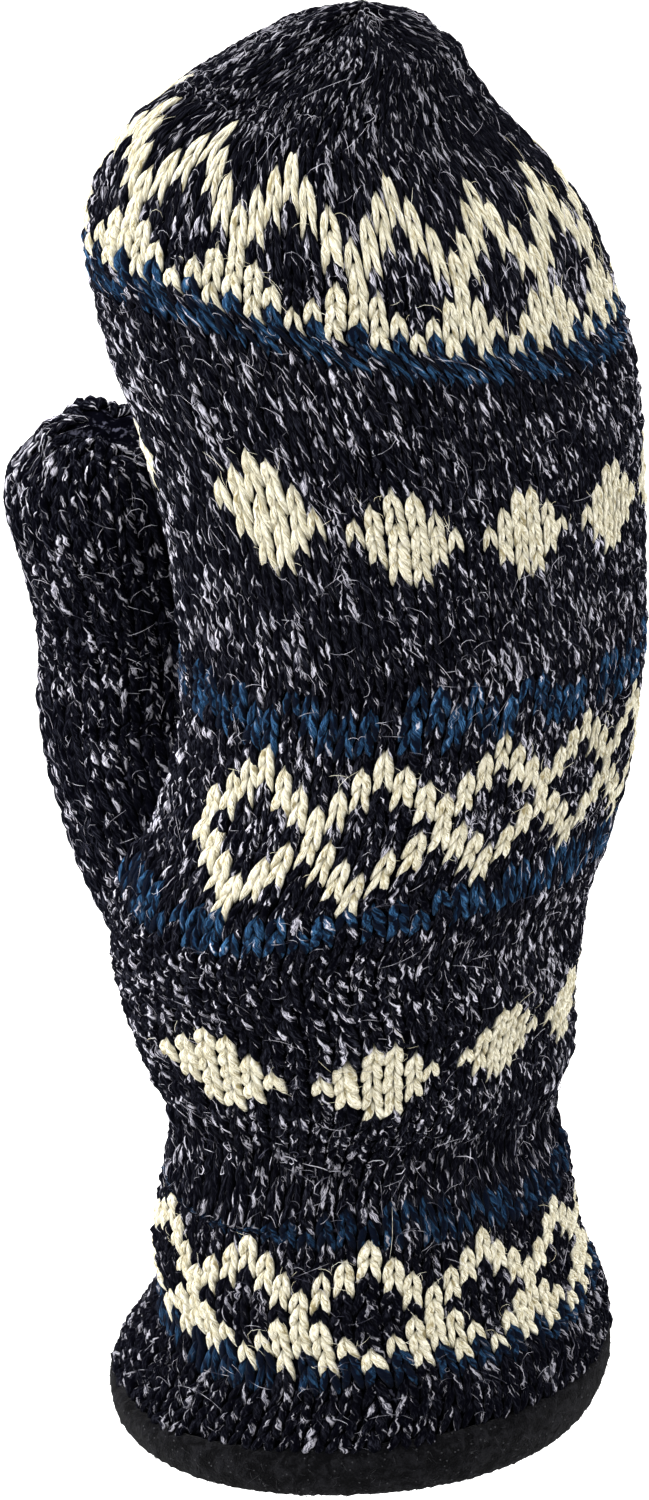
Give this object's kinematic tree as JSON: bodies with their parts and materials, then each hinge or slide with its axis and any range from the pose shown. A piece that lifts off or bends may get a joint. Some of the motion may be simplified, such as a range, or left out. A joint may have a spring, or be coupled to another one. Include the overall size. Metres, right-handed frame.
{
  "type": "mitten",
  "caption": "Knitted wool mitten in its worn form: flared cuff with a fleece-bound edge, drawn-in wrist, swelling hand, separate thumb and softly gathered, rounded tips.",
  "frame": {"origin": "centre of the cuff's mouth, where the wrist goes in", "axes": "+Z from the cuff to the gathered fingertips, +Y from the back of the hand to the palm, +X from the thumb's side to the little finger's side"},
  "size_m": [0.1246, 0.0963, 0.2955],
  "materials": {
    "patterned_wool": "brushed knit",
    "heather_wool": "brushed knit",
    "black_fleece": "matte pile"
  },
  "bodies": {
    "root": {"hand_shell": "patterned_wool", "thumb_shell": "heather_wool", "fleece_hem": "black_fleece"}
  },
  "joints": []
}
